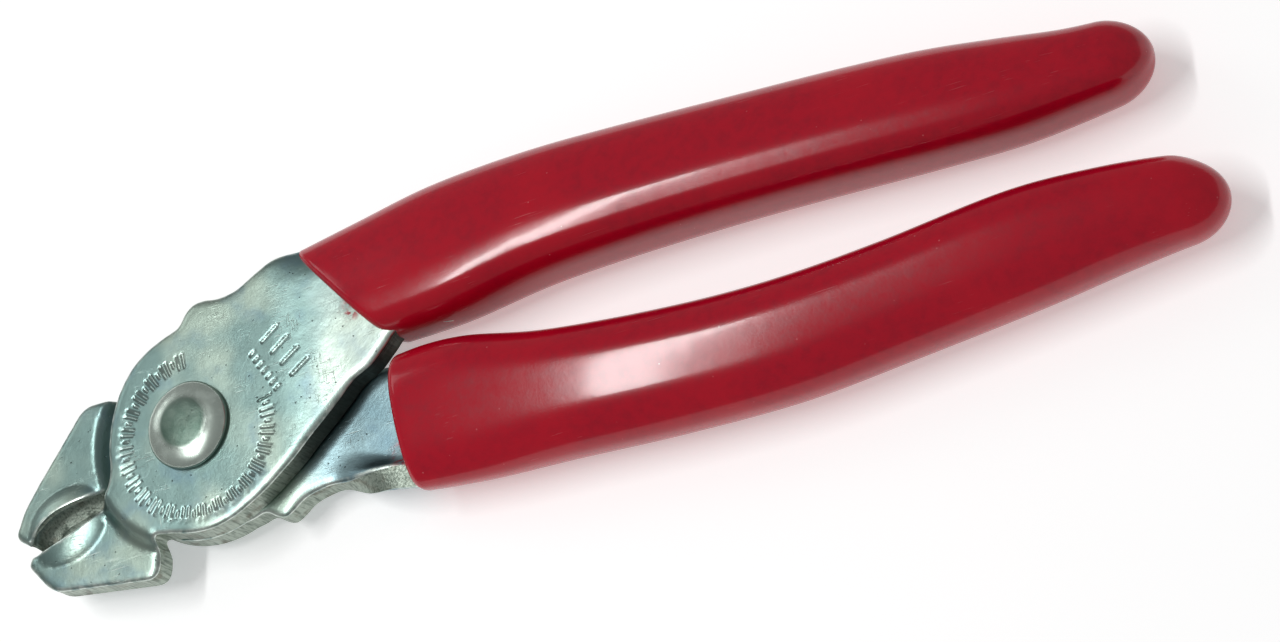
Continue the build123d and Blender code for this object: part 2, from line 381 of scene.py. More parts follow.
class Shader:
    """A material under construction, which knows the place of each surface point in millimetres."""

    def __init__(self, name: str) -> None:
        """Starts an empty material of that name."""
        self.material = bpy.data.materials.new(name)
        self.material.use_nodes = True
        self.tree = self.material.node_tree
        self.tree.nodes.clear()
        where = self.node("ShaderNodeTexCoord", {}, {}, "Object")
        self.place = self.vector("SCALE", {0: where, "Scale": 1 / MM})

    def node(self, kind: str, settings: dict, sockets: dict, output: str | int = 0) -> Socket | None:
        """Adds one node.

        Args:
            kind: Blender's type of node.
            settings: Its properties, set first.
            sockets: Values or links of its input sockets, by name or number.
            output: Name or number of the output wanted.

        Returns:
            That output, or None where the node has none.
        """
        made = self.tree.nodes.new(kind)
        for key, value in settings.items():
            setattr(made, key, value)
        for key, value in sockets.items():
            if isinstance(value, Socket):
                self.tree.links.new(value.output, made.inputs[key])
            else:
                made.inputs[key].default_value = value
        return Socket(self, made.outputs[output]) if made.outputs else None

    def vector(self, operation: str, sockets: dict) -> Socket:
        """Vector Math node."""
        return self.node("ShaderNodeVectorMath", {"operation": operation}, sockets)

    def noise(
        self, size: float, detail: float = 3.0, stretch: tuple = (1, 1, 1), roughness: float = 0.5
    ) -> Socket:
        """Noise between 0 and 1.

        Args:
            size: Size of its largest features, in millimetres.
            detail: Octaves of finer noise.
            stretch: How much longer the features are along X, Y and Z.
            roughness: Weight of the finer octaves.

        Returns:
            The noise.
        """
        where = self.vector("MULTIPLY", {0: self.place, 1: tuple(1 / s for s in stretch)})
        sockets = {"Vector": where, "Scale": 1 / size, "Detail": detail, "Roughness": roughness}
        return self.node("ShaderNodeTexNoise", {}, sockets, "Fac")

    def cells(self, size: float) -> Socket:
        """Distance to the nearest of scattered points, in cells of that size in millimetres."""
        return self.node("ShaderNodeTexVoronoi", {}, {"Vector": self.place, "Scale": 1 / size}, "Distance")

    def attribute(self, name: str) -> Socket:
        """A number that the mesh carries at each point."""
        return self.node("ShaderNodeAttribute", {"attribute_name": name}, {}, "Fac")

    def mix(self, factor: Socket | float, first: Socket | tuple, second: Socket | tuple) -> Socket:
        """Mix of two colours."""
        return self.node("ShaderNodeMix", {"data_type": "RGBA"}, {0: factor, 6: first, 7: second}, 2)

    def bump(self, height: Socket, distance: float) -> Socket:
        """Bump whose height of one stands for a distance in millimetres."""
        return self.node("ShaderNodeBump", {}, {"Height": height, "Distance": distance * MM})

    def surface(self, sockets: dict) -> bpy.types.Material:
        """Closes the material with a principled shader of those sockets."""
        shader = self.node("ShaderNodeBsdfPrincipled", {}, sockets)
        self.node("ShaderNodeOutputMaterial", {}, {"Surface": shader})
        return self.material


def rgb(red: int, green: int, blue: int) -> Colour:
    """Linear colour of an eight-bit display colour.

    Args:
        red: Red level up to 255.
        green: Green level up to 255.
        blue: Blue level up to 255.

    Returns:
        Red, green, blue and an alpha of one.
    """
    levels = [c / 255 for c in (red, green, blue)]
    linear = [c / 12.92 if c <= 0.04045 else ((c + 0.055) / 1.055) ** 2.4 for c in levels]
    return (*linear, 1.0)


# ---------------------------------------------------------------- finishes, with every size in millimetres
@dataclass(frozen=True)
class ZincPlate:
    """Bright zinc plate on a pressed sheet, dulled and scuffed in use, with painted shade on the rear lever
    and a painted highlight on the front lever's neck.
    """

    name: str = "zinc_plate"
    body: Colour = rgb(124, 150, 146)
    pale: Colour = rgb(160, 178, 166)
    blue: Colour = rgb(98, 126, 140)
    pit: Colour = rgb(70, 84, 82)
    # bare metal for worn edges, scratches and struck marks, and also the colour of the painted highlight on
    # the front lever's neck
    bare_and_highlight: Colour = rgb(214, 224, 216)
    smear: Colour = rgb(150, 40, 52)
    roughness: float = 0.18
    cloud_size: float = 14.0
    patch_size: float = 6.0
    grain_size: float = 0.35
    dent_size: float = 2.6
    wear_size: float = 1.3
    worn_width: float = 0.75
    smear_size: float = 1.1
    scratch_width: float = 0.16
    scratch_length: float = 28.0
    cross_width: float = 0.14
    cross_length: float = 22.0
    scratch_patch: float = 5.0
    pit_spacing: float = 1.15
    pit_patch: float = 3.2
    relief: float = 0.045

    def scratches(self, s: Shader) -> Socket:
        """Fine scratches along and across the tool, in patches."""
        along = s.noise(self.scratch_width, 2.0, (self.scratch_length, 1, 1)).rise(0.60, 0.72)
        across = s.noise(self.cross_width, 2.0, (1, self.cross_length, 1)).rise(0.63, 0.74)
        return (along + across) * s.noise(self.scratch_patch, 1.0).rise(0.48, 0.66)

    def pits(self, s: Shader) -> Socket:
        """Small round pits, in patches."""
        holes = 1 - s.cells(self.pit_spacing).rise(0.05, 0.13)
        return holes * s.noise(self.pit_patch, 1.0).rise(0.47, 0.60)

    def make(self) -> bpy.types.Material:
        """Builds the finish."""
        s = Shader(self.name)
        clouds = s.noise(self.cloud_size, 2.0)
        patches = s.noise(self.patch_size, 4.0)
        grain = s.noise(self.grain_size, 4.0, roughness=0.7)
        scratch = self.scratches(s)
        pits = self.pits(s)
        edge = 1 - s.attribute("edge_mm").rise(0.05, self.worn_width)
        worn = edge * s.noise(self.wear_size, 3.0).rise(0.30, 0.62)
        smear = s.attribute("smear")
        colour = s.mix(clouds.rise(0.42, 0.66), self.body, self.pale)
        colour = s.mix(patches.rise(0.50, 0.76) * 0.6, colour, self.blue)
        # painted highlight: the front lever's neck lightened in cloudy patches
        colour = s.mix(s.attribute("neck") * clouds.rise(0.3, 0.5) * 0.25, colour, self.bare_and_highlight)
        # painted shade: the rear lever's jaw step and neck tinted a darker blue
        colour = s.mix(s.attribute("painted_shade") * 0.7, colour, self.blue)
        colour = s.mix(worn, colour, self.bare_and_highlight)
        colour = s.mix(pits * 0.7, colour, self.pit)
        colour = s.mix(scratch * 0.35, colour, self.bare_and_highlight)
        colour = s.mix(s.attribute("stamp") * 0.2, colour, self.bare_and_highlight)
        colour = s.mix(smear * s.noise(self.smear_size, 3.0).rise(0.44, 0.60), colour, self.smear)
        rough = patches * 0.16 + grain * 0.14 + scratch * 0.12 + self.roughness
        height = grain * 0.35 + s.noise(self.dent_size, 2.0) * 0.9 - pits * 1.2 - scratch * 0.35
        return s.surface(
            {
                "Base Color": colour,
                "Metallic": 1 - smear * 0.6,
                "Roughness": rough,
                "Normal": s.bump(height, self.relief),
            }
        )


@dataclass(frozen=True)
class CutEdge:
    """Sheared edge of the plated sheet: a smooth band at the top and a torn, streaked face below, with
    painted light in the ring groove and a painted shadow on the front lever's neck wall.
    """

    name: str = "cut_edge"
    body: Colour = rgb(164, 176, 164)
    dark: Colour = rgb(116, 128, 118)
    brown: Colour = rgb(84, 68, 50)
    # pale blue for the painted light in the ring groove
    blue: Colour = rgb(158, 184, 190)
    shadow: Colour = rgb(64, 70, 64)
    metallic: float = 0.9
    roughness: float = 0.32
    streak_width: float = 0.34
    streak_length: float = 9.0
    blotch_size: float = 2.4
    relief: float = 0.10

    def make(self) -> bpy.types.Material:
        """Builds the finish."""
        s = Shader(self.name)
        streaks = s.noise(self.streak_width, 3.0, (1, 1, self.streak_length), 0.6)
        blotches = s.noise(self.blotch_size, 4.0)
        colour = s.mix(streaks.rise(0.40, 0.70), self.body, self.dark)
        colour = s.mix(blotches.rise(0.52, 0.70) * 0.5, colour, self.brown)
        # painted light: the ring groove's wall lightened to pale blue
        colour = s.mix(s.attribute("groove") * 0.8, colour, self.blue)
        # painted shadow: the front lever's inner wall darkened towards the grip
        colour = s.mix(s.attribute("under") * 0.85, colour, self.shadow)
        return s.surface(
            {
                "Base Color": colour,
                "Metallic": self.metallic,
                "Roughness": streaks * 0.25 + self.roughness,
                "Normal": s.bump(streaks + blotches * 0.5, self.relief),
            }
        )


@dataclass(frozen=True)
class RivetSteel:
    """Headed rivet: lighter in cloudy patches on its flank, a painted reflection, darker and grained on its
    flattened top.
    """

    name: str = "rivet_steel"
    body: Colour = rgb(206, 220, 210)
    dark: Colour = rgb(78, 98, 88)
    bright: Colour = rgb(228, 242, 232)
    roughness: float = 0.20
    grain_size: float = 0.30
    cloud_size: float = 2.2
    pit_spacing: float = 0.9
    relief: float = 0.05

    def make(self) -> bpy.types.Material:
        """Builds the finish."""
        s = Shader(self.name)
        grain = s.noise(self.grain_size, 4.0, roughness=0.7)
        clouds = s.noise(self.cloud_size, 3.0)
        top = s.attribute("top")
        pits = 1 - s.cells(self.pit_spacing).rise(0.04, 0.12)
        colour = s.mix(top * (clouds * 0.3 + 0.8), self.body, self.dark)
        # painted reflection: pale cloudy patches on the flank
        colour = s.mix((1 - top) * clouds.rise(0.45, 0.7), colour, self.bright)
        colour = s.mix(pits * top * 0.7, colour, self.dark)
        return s.surface(
            {
                "Base Color": colour,
                "Metallic": 1.0,
                "Roughness": top * 0.10 + grain * 0.10 + self.roughness,
                "Normal": s.bump(grain * top + clouds * 0.6 - pits * top, self.relief),
            }
        )


@dataclass(frozen=True)
class DippedVinyl:
    """Thick glossy vinyl, dipped on the handles."""

    name: str = "dipped_vinyl"
    crimson: Colour = rgb(178, 2, 34)
    deep: Colour = rgb(136, 2, 32)
    warm: Colour = rgb(192, 6, 34)
    dust: Colour = rgb(214, 120, 124)
    roughness: float = 0.14
    coat: float = 0.25
    coat_roughness: float = 0.08
    ior: float = 1.37
    mottle_size: float = 1.6
    cloud_size: float = 18.0
    skin_size: float = 0.4
    wave_size: float = 5.5
    speck_spacing: float = 2.6
    speck_patch: float = 6.0
    rub_width: float = 0.22
    rub_length: float = 40.0
    rub_patch: float = 9.0
    relief: float = 0.05

    def make(self) -> bpy.types.Material:
        """Builds the finish."""
        s = Shader(self.name)
        mottle = s.noise(self.mottle_size, 5.0, roughness=0.65)
        clouds = s.noise(self.cloud_size, 2.0)
        skin = s.noise(self.skin_size, 3.0)
        specks = 1 - s.cells(self.speck_spacing).rise(0.03, 0.06)
        specks = specks * s.noise(self.speck_patch, 1.0).rise(0.44, 0.60)
        rubs = s.noise(self.rub_width, 2.0, (self.rub_length, 1, 1)).rise(0.66, 0.76)
        rubs = rubs * s.noise(self.rub_patch, 1.0).rise(0.5, 0.66)
        colour = s.mix(mottle.rise(0.36, 0.74) * 0.42, self.crimson, self.deep)
        colour = s.mix(clouds.rise(0.45, 0.68) * 0.5, colour, self.warm)
        colour = s.mix(specks * 0.45 + rubs * 0.12, colour, self.dust)
        height = mottle * 0.14 + skin * 0.05 + s.noise(self.wave_size, 2.0) * 0.3 - rubs * 0.1
        return s.surface(
            {
                "Base Color": colour,
                "Roughness": mottle * 0.12 + rubs * 0.14 + self.roughness,
                "Coat Weight": self.coat,
                "Coat Roughness": self.coat_roughness,
                "IOR": self.ior,
                "Normal": s.bump(height, self.relief),
            }
        )


@dataclass(frozen=True)
class StudioFloor:
    """Matt white sweep that the tool lies on, lit from within as a light table is."""

    name: str = "studio_floor"
    white: Colour = rgb(250, 250, 250)
    grey: Colour = rgb(236, 238, 240)
    cloud_size: float = 60.0
    roughness: float = 0.9
    glow: float = 0.37

    def make(self) -> bpy.types.Material:
        """Builds the finish."""
        s = Shader(self.name)
        return s.surface(
            {
                "Base Color": s.mix(s.noise(self.cloud_size, 2.0) * 0.04, self.white, self.grey),
                "Roughness": self.roughness,
                "Emission Color": self.white,
                "Emission Strength": self.glow,
            }
        )


# ---------------------------------------------------------------- the tool's own geometry, in millimetres
@dataclass(frozen=True)
class Mouth:
    """Opening that the jaws close round a ring: its place, the groove in both edges and their swelling."""

    centre: Point
    height: float
    angle: float = 17.0
    reach: float = 7.7
    groove: float = 1.6
    swell_length: float = 6.4
    swell_start: float = 1.6
    swell_width: float = 4.3
    swell_height: float = 1.1
    swell_power: float = 0.85
    end_fade: float = 3.4

    def local(self, points: np.ndarray) -> tuple[np.ndarray, np.ndarray]:
        """Places along and across the mouth, from its centre.

        Args:
            points: Places to look at, as rows in millimetres.

        Returns:
            Distances along it and across it.
        """
        c, s = math.cos(math.radians(self.angle)), math.sin(math.radians(self.angle))
        x, y = points[:, 0] - self.centre[0], points[:, 1] - self.centre[1]
        return x * c + y * s, y * c - x * s

    def swelling(self, points: np.ndarray) -> np.ndarray:
        """How far both faces of a jaw stand out beside the mouth.

        Args:
            points: Places to look at, as rows in millimetres.

        Returns:
            Heights in millimetres.
        """
        along, across = self.local(points)
        over = np.clip(np.abs(across) - self.swell_start, 0, None) / self.swell_width
        rest = np.clip(1 - (along / self.swell_length) ** 2 - over**2, 0, 1)
        return self.swell_height * rest**self.swell_power

    def grooved(self, points: np.ndarray) -> np.ndarray:
        """One along the middle of a jaw's mouth edge, less at its two ends, and zero elsewhere.

        Args:
            points: Places to look at, as rows in millimetres.

        Returns:
            A share for each place.
        """
        along, across = self.local(points)
        lip = np.abs(across) < self.swell_start * 2
        ends = smooth(self.reach + along, 0, self.end_fade) * smooth(self.reach - along, 0, self.end_fade)
        return np.where(lip, ends, 0.0)


@dataclass(frozen=True)
class Stamp:
    """Plain marks struck into the front plate: a ring of dashes and a few bars by the neck."""

    centre: Point = (0.9, -1.6)
    inner: float = 11.1
    outer: float = 13.2
    pitch: float = 4.4
    start: float = 92.0
    end: float = 372.0
    stroke: float = 0.24
    depth: float = 0.17
    bars_from: Point = (14.2, 11.4)
    bars_to: Point = (19.8, 2.8)
    bar_count: int = 4
    bar_half_length: float = 1.7
    dots_from: Point = (11.4, 8.6)
    dots_to: Point = (15.4, 1.2)
    dot_count: int = 7
    dot_half_length: float = 0.45
    soft_edge: Point = (0.45, 1.25)
    ring_margin: Point = (0.5, 3.0)
    ring_step: Point = (0.19, 0.95)
    bar_step: Point = (0.21, 0.21)
    clearance: float = 0.7

    def patch(self) -> np.ndarray:
        """Fine points where the marks lie, so that their edges are crisp.

        Returns:
            The points as rows.
        """
        wide, round_ = self.ring_margin
        first, last = (self.inner - wide, self.start - round_), (self.outer + wide, self.end + round_)
        radius, turn = lattice(first, last, self.ring_step).T
        turn = np.radians(turn)
        x, y = self.centre
        band = np.stack([x + radius * np.cos(turn), y + radius * np.sin(turn)], -1)
        low = np.minimum(self.dots_from, self.dots_to) - 1.2
        high = np.maximum(self.bars_from, self.bars_to) + (1.8, 0.6)
        return np.vstack([band, lattice((low[0], low[1] - 0.5), (high[0], high[1] + 1.4), self.bar_step)])

    def struck(self, gap: np.ndarray, width: float) -> np.ndarray:
        """One on a mark's middle line and zero past its soft edge, for a distance from that line."""
        return 1 - smooth(gap, width * self.soft_edge[0], width * self.soft_edge[1])

    def row(
        self, points: np.ndarray, ends: tuple[Point, Point], count: int, half: float, width: float
    ) -> np.ndarray:
        """Straight marks in a row.

        Args:
            points: Places to look at.
            ends: Where the row starts and ends.
            count: How many marks it has.
            half: Half the length of each.
            width: Its width.

        Returns:
            One inside the marks and zero outside.
        """
        bars = np.array(self.bars_to) - np.array(self.bars_from)
        along = np.array([-bars[1], bars[0]]) / np.linalg.norm(bars)
        start = np.array(ends[0])
        line = np.array(ends[1]) - start
        total = np.zeros(len(points))
        for i in range(count):
            rel = points - (start + line * (i + 0.5) / count)
            beyond = np.clip(np.abs(rel @ along) - half, 0, None)
            gap = np.hypot(beyond, rel @ np.array([-along[1], along[0]]))
            total = np.maximum(total, self.struck(gap, width))
        return total

    def mask(self, points: np.ndarray) -> np.ndarray:
        """One inside the marks and zero outside.

        Args:
            points: Places to look at, as rows in millimetres.

        Returns:
            A share for each place.
        """
        rel = points - np.array(self.centre)
        radius = np.hypot(rel[:, 0], rel[:, 1])
        turn = np.degrees(np.arctan2(rel[:, 1], rel[:, 0])) % 360
        turn = np.where(turn < self.start - 30, turn + 360, turn)
        cell = np.floor((turn - self.start) / self.pitch)
        arc_gap = np.radians((turn - self.start) - (cell + 0.5) * self.pitch) * radius
        middle, half = (self.inner + self.outer) / 2, (self.outer - self.inner) / 2
        reach = np.where(cell % 3 == 2, half * 0.35, half)
        gap = np.hypot(np.clip(np.abs(radius - middle) - reach, 0, None), arc_gap)
        ring = self.struck(gap, self.stroke) * ((turn > self.start) & (turn < self.end))
        bar_ends, dot_ends = (self.bars_from, self.bars_to), (self.dots_from, self.dots_to)
        bars = self.row(points, bar_ends, self.bar_count, self.bar_half_length, self.stroke * 1.1)
        dots = self.row(points, dot_ends, self.dot_count, self.dot_half_length, self.stroke)
        return np.maximum(np.maximum(ring, bars), dots)


@dataclass
class Lever:
    """One stamped lever: jaw, round plate and the channel of its handle, pressed from one sheet."""

    name: str
    node: str
    body: str
    outline: list[Point]
    turn: Turn
    plate_mid: float
    mouth: Mouth
    step: tuple[float, float]
    visible_turn: tuple[float, float, float]
    hidden_turn: tuple[float, float, float]
    inner_turn: tuple[float, float, float]
    neck: tuple[float, float, float]
    sheet: float = 4.0
    hole: float = 5.05
    roll_width: float = 1.3
    roll_depth: float = 0.55
    lip_roll: float = 0.25
    burr: float = 0.16
    turn_length: float = 5.0
    spacing: float = 0.42
    rows: int = 14
    back_lip: float = 0.3
    edge_rows: tuple[float, ...] = (0.10, 0.24, 0.42, 0.66, 0.98, 1.4, 1.95)
    free_margin: float = 2.3
    hole_margin: float = 0.4
    coarse_step: Point = (0.8, 0.7)
    fine_step: Point = (0.36, 0.33)
    fine_reach: float = 9.0
    row_clearance: float = 0.92
    torn_from: float = 0.35
    lip_run: Point = (0.35, 0.95)
    groove_run: Point = (0.4, 0.62)
    torn: float = 0.05
    sheared: float = 0.015
    waviness: float = 0.03
    jaw_from: Point = (4.0, 7.0)
    jaw_low: Point = (-7.6, -6.4)
    jaw_left: Point = (14.6, 16.4)
    # x ranges of the rear lever's painted shade and of the front lever's painted shadow
    shade_run: Point = (12.0, 20.0)
    under_run: Point = (10.0, 22.0)
    stamp: Stamp | None = None
    smears: list[tuple[Point, float]] = field(default_factory=list)

    def mid(self, points: np.ndarray) -> np.ndarray:
        """Height of the middle of the sheet, with the step from plate to jaw and the neck's slope.

        Args:
            points: Places to look at, as rows in millimetres.

        Returns:
            Heights in millimetres.
        """
        x, y = points.T
        jaw = smooth(np.hypot(x, y), *self.step) * smooth(-x, *self.jaw_from)
        if self.turn is Turn.UP:
            jaw *= smooth(y, *self.jaw_low) + smooth(-x, *self.jaw_left) * (y <= self.jaw_low[1])
            jaw = np.minimum(jaw, 1.0)
        start, end, rise = self.neck
        return self.plate_mid + (self.mouth.height - self.plate_mid) * jaw + rise * smooth(x, start, end)

    def turn_angle(self, points: np.ndarray, outward: np.ndarray) -> np.ndarray:
        """Angle that the sheet's edge is turned through, in radians.

        Args:
            points: Places to look at, as rows in millimetres.
            outward: Directions towards the nearest edge.

        Returns:
            An angle for each place.
        """
        x = points[:, 0]
        outer_turns = (self.visible_turn, self.hidden_turn)
        outer = sum(angle * smooth(x, start, end) for start, end, angle in outer_turns)
        start, end, angle = self.inner_turn
        inner = angle * smooth(x, start, end)
        return np.radians(np.where(outward[:, 1] * -self.turn.value > 0, outer, inner))

    def place(
        self, points: np.ndarray, level: np.ndarray, gap: np.ndarray, outward: np.ndarray
    ) -> np.ndarray:
        """Where points of the flat blank end up.

        Args:
            points: Places in the blank.
            level: Heights from the middle of the sheet.
            gap: Distances from the blank's edge.
            outward: Directions towards that edge.

        Returns:
            Rows of x, y, z in millimetres.
        """
        rest = np.clip(self.turn_length - gap, 0, None)
        rate = self.turn_angle(points, outward) / self.turn_length
        angle = rate * rest
        turned = rate > 1e-6
        safe = np.where(turned, rate, 1.0)
        forward = np.where(turned, np.sin(angle) / safe, rest)
        rise = np.where(turned, (1 - np.cos(angle)) / safe, 0.0)
        way = self.turn.value
        shift = forward - rest - way * level * np.sin(angle)
        flat = points + outward * shift[:, None]
        height = self.mid(points) + way * rise + level * np.cos(angle)
        return np.column_stack([flat, height])

    def top_level(self, points: np.ndarray, gap: np.ndarray) -> np.ndarray:
        """Height of the front face over the middle of the sheet.

        Args:
            points: Places to look at, as rows in millimetres.
            gap: Distances from the nearest edge.

        Returns:
            Heights in millimetres.
        """
        lip = self.mouth.grooved(points)
        width = self.roll_width + (self.lip_roll - self.roll_width) * lip
        depth = self.roll_depth + (self.lip_roll - self.roll_depth) * lip
        inward = np.clip(1 - gap / width, 0, 1)
        level = self.sheet / 2 + self.mouth.swelling(points) - depth * (1 - np.sqrt(1 - inward**2))
        if self.stamp:
            level -= self.stamp.depth * self.stamp.mask(points)
        return level

    def back_level(self, points: np.ndarray, gap: np.ndarray) -> np.ndarray:
        """Height of the back face over the middle of the sheet."""
        inward = np.clip(1 - gap / (self.burr * 2), 0, 1)
        return self.burr * inward**2 - self.sheet / 2 - self.mouth.swelling(points)

    def overhang(self, points: np.ndarray, gap: np.ndarray) -> np.ndarray:
        """How far the back lip of the mouth stands out past the front one."""
        return self.back_lip * self.mouth.grooved(points) * (1 - smooth(gap, 0, 4))

    def blank(self) -> tuple[np.ndarray, np.ndarray, np.ndarray]:
        """Points inside the outline, with the outline and the rivet's hole first.

        Returns:
            The outline, the hole and the points between them.
        """
        loop = resample(self.outline, self.spacing)
        area = np.sum(loop[:, 0] * np.roll(loop[:, 1], -1) - np.roll(loop[:, 0], -1) * loop[:, 1])
        loop = loop if area > 0 else loop[::-1].copy()
        hole = resample(arc((0, 0), self.hole, 0, 360), self.spacing * 1.6)
        ahead, behind = np.roll(loop, -1, axis=0), np.roll(loop, 1, axis=0)
        inward = np.stack([-(ahead - behind)[:, 1], (ahead - behind)[:, 0]], -1)
        inward /= np.linalg.norm(inward, axis=1)[:, None]
        parts = []
        for depth in self.edge_rows:
            ring = loop + inward * depth
            parts.append(ring[edge_distance(ring, loop) > depth * self.row_clearance])
        grid = self.fill(loop)
        grid = grid[inside(grid, loop)]
        grid = grid[edge_distance(grid, loop) > self.free_margin]
        grid = grid[np.hypot(grid[:, 0], grid[:, 1]) > self.hole + self.hole_margin]
        return loop, hole, np.vstack([*parts, grid])

    def fill(self, loop: np.ndarray) -> np.ndarray:
        """Grid points over the outline's box: coarse, finer round the mouth and finest at the marks.

        Args:
            loop: The outline.

        Returns:
            The points as rows.
        """
        coarse = lattice(loop.min(0), loop.max(0), self.coarse_step, self.coarse_step[0] / 2)
        corner, middle = (self.fine_reach, self.fine_reach), np.array(self.mouth.centre)
        fine = lattice((-corner[0], -corner[1]), corner, self.fine_step) + middle
        coarse = coarse[~(np.hypot(*(coarse - middle).T) < self.fine_reach)]
        grids = [coarse, fine[np.hypot(*(fine - middle).T) < self.fine_reach - 0.1]]
        if self.stamp:
            marked = np.hypot(*(coarse - np.array(self.stamp.centre)).T)
            clear = self.stamp.clearance
            ring = (marked > self.stamp.inner - clear) & (marked < self.stamp.outer + clear)
            grids = [coarse[~ring], grids[1], self.stamp.patch()]
        return np.vstack(grids)

    def sheet_mesh(
        self, loop: np.ndarray, hole: np.ndarray, free: np.ndarray
    ) -> tuple[np.ndarray, list[list[int]], dict[int, int]]:
        """Fills the outline with triangles and leaves the rivet's hole open.

        Args:
            loop: The outline.
            hole: The hole's edge.
            free: The points between them.

        Returns:
            The points, the faces, and the number among the points of each point given.
        """
        runs = [(i, (i + 1) % len(loop)) for i in range(len(loop))]
        runs += [(len(loop) + i, len(loop) + (i + 1) % len(hole)) for i in range(len(hole))]
        given = [Vector(p) for p in np.vstack([loop, hole, free])]
        result = delaunay_2d_cdt(given, runs, [], 1, 1e-5)
        points = np.array([tuple(p) for p in result[0]])
        number = {source: i for i, sources in enumerate(result[3]) for source in sources}
        centres = np.array([points[list(f)].mean(0) for f in result[2]])
        kept = np.hypot(centres[:, 0], centres[:, 1]) > self.hole * 0.995
        return points, [list(f) for f, keep in zip(result[2], kept) if keep], number

    def wall(self, here: np.ndarray, away: np.ndarray, outer: bool) -> tuple[np.ndarray, np.ndarray]:
        """Sheared edge between the front face and the back one.

        Args:
            here: Points along an edge of the blank.
            away: Directions out of the sheet at those points.
            outer: True for the outline's edge, which holds the ring groove.

        Returns:
            Points of its rows from front to back, and how deep in the groove each lies.
        """
        none = np.zeros(len(here))
        high, low = self.top_level(here, none), self.back_level(here, none)
        lip = self.mouth.grooved(here) if outer else none
        rows, grooves = [], []
        for k in range(1, self.rows):
            share = k / self.rows
            level = high + (low - high) * share
            rel = self.mid(here) + level - self.mouth.height
            hollow = lip * np.sqrt(np.clip(self.mouth.groove**2 - rel**2, 0, None))
            push = hollow - self.back_lip * lip * smooth(share, *self.lip_run)
            row = self.place(here - away * push[:, None], level, none, away)
            rough = self.torn if share > self.torn_from else self.sheared
            row[:, :2] -= away * (rough * (1 + ripple(row * (1, 1, 0.3), 2.2, 9.0)))[:, None]
            rows.append(row)
            grooves.append(hollow / self.mouth.groove * (1 - smooth(share, *self.groove_run)))
        return np.vstack(rows), np.concatenate(grooves)

    def build(self) -> bpy.types.Object:
        """Makes the lever's mesh."""
        loop, hole, free = self.blank()
        points, faces, number = self.sheet_mesh(loop, hole, free)
        gap = edge_distance(points, loop)
        outward = self.outward(points, loop)
        whole_gap = np.minimum(gap, np.abs(np.hypot(points[:, 0], points[:, 1]) - self.hole))
        top = self.place(points, self.top_level(points, whole_gap), gap, outward)
        lipped = points + outward * self.overhang(points, gap)[:, None]
        back = self.place(lipped, self.back_level(points, whole_gap), gap, outward)
        top[:, 2] += self.waviness * ripple(top, 0.16, 3.0)
        count = len(points)
        rows, grooves = [top, back], [np.zeros(2 * count)]
        plate = faces + [[i + count for i in reversed(f)] for f in faces]
        quads: list[list[int]] = []
        start, first = 2 * count, 0
        for ring, outer in ((loop, True), (hole, False)):
            edge = np.array([number[first + i] for i in range(len(ring))])
            wall, groove = self.wall(points[edge], outward[edge], outer)
            lines = start + np.arange(len(wall)).reshape(-1, len(edge))
            for upper, lower in zip([edge, *lines], [*lines, edge + count]):
                quads += self.band(upper, lower, outer)
            rows.append(wall)
            grooves.append(groove)
            start += len(wall)
            first += len(ring)
        piece = mesh_object(self.name, np.vstack(rows), plate + quads, sharp=42)
        self.dress(piece, len(plate), np.vstack(rows), np.concatenate(grooves), whole_gap)
        return piece

    @staticmethod
    def outward(points: np.ndarray, loop: np.ndarray) -> np.ndarray:
        """Unit directions from points to the nearest stretch of a counter-clockwise outline.

        Args:
            points: Places to look at, as rows in millimetres.
            loop: The outline.

        Returns:
            Directions as rows.
        """
        ahead = np.roll(loop, -2, axis=0) - np.roll(loop, 2, axis=0)
        normal = np.stack([ahead[:, 1], -ahead[:, 0]], -1)
        normal /= np.linalg.norm(normal, axis=1)[:, None]
        return normal[nearest_corner(points, loop)]

    @staticmethod
    def band(upper: np.ndarray, lower: np.ndarray, outer: bool) -> list[list[int]]:
        """Faces between two closed rows of vertices.

        Args:
            upper: Vertex numbers of the first row.
            lower: Vertex numbers of the second row.
            outer: True round the outline, False round the hole.

        Returns:
            Vertex numbers of each face.
        """
        a, b = np.roll(upper, -1), np.roll(lower, -1)
        if outer:
            return np.stack([lower, b, a, upper], -1).tolist()
        return np.stack([upper, a, b, lower], -1).tolist()

    def dress(
        self,
        piece: bpy.types.Object,
        face_count: int,
        points: np.ndarray,
        groove: np.ndarray,
        gap: np.ndarray,
    ) -> None:
        """Gives the mesh its two finishes and the numbers that they read.

        Args:
            piece: The lever's mesh object.
            face_count: How many of its faces belong to the plate's front and back.
            points: Its points in millimetres.
            groove: How deep in the ring groove each point lies.
            gap: Distance from the edge of the front and back points.
        """
        edge = np.zeros(len(points))
        edge[: len(gap)], edge[len(gap) : 2 * len(gap)] = gap, gap
        flat = points[:, :2]
        radius = np.hypot(flat[:, 0], flat[:, 1])
        # painted shade in a band along the rear lever's jaw step
        painted_shade = smooth(radius, self.step[0] - 0.6, self.step[0] + 0.4) * (1 - smooth(radius, *self.step))
        smear = np.zeros(len(points))
        for at, size in self.smears:
            smear = np.maximum(smear, 1 - smooth(np.hypot(*(flat - np.array(at)).T), size * 0.35, size))
        down, up = self.turn is Turn.DOWN, self.turn is Turn.UP
        values = {
            "edge_mm": edge,
            "groove": groove,
            # painted highlight on the front lever's neck
            "neck": smooth(flat[:, 0], self.neck[0], self.neck[1]) * down,
            # painted shade on the rear lever, along its jaw step and towards its neck
            "painted_shade": np.maximum(painted_shade * (flat[:, 0] < -6), smooth(flat[:, 0], *self.shade_run)) * up,
            "stamp": self.stamp.mask(flat) if self.stamp else np.zeros(len(points)),
            "smear": smear,
            # painted shadow on the front lever's inner wall under the grip
            "under": smooth(flat[:, 0], *self.under_run) * down,
        }
        for name, value in values.items():
            number_layer(piece, name, value)
        index = np.ones(len(piece.data.polygons), np.int32)
        index[:face_count] = 0
        piece.data.polygons.foreach_set("material_index", index)


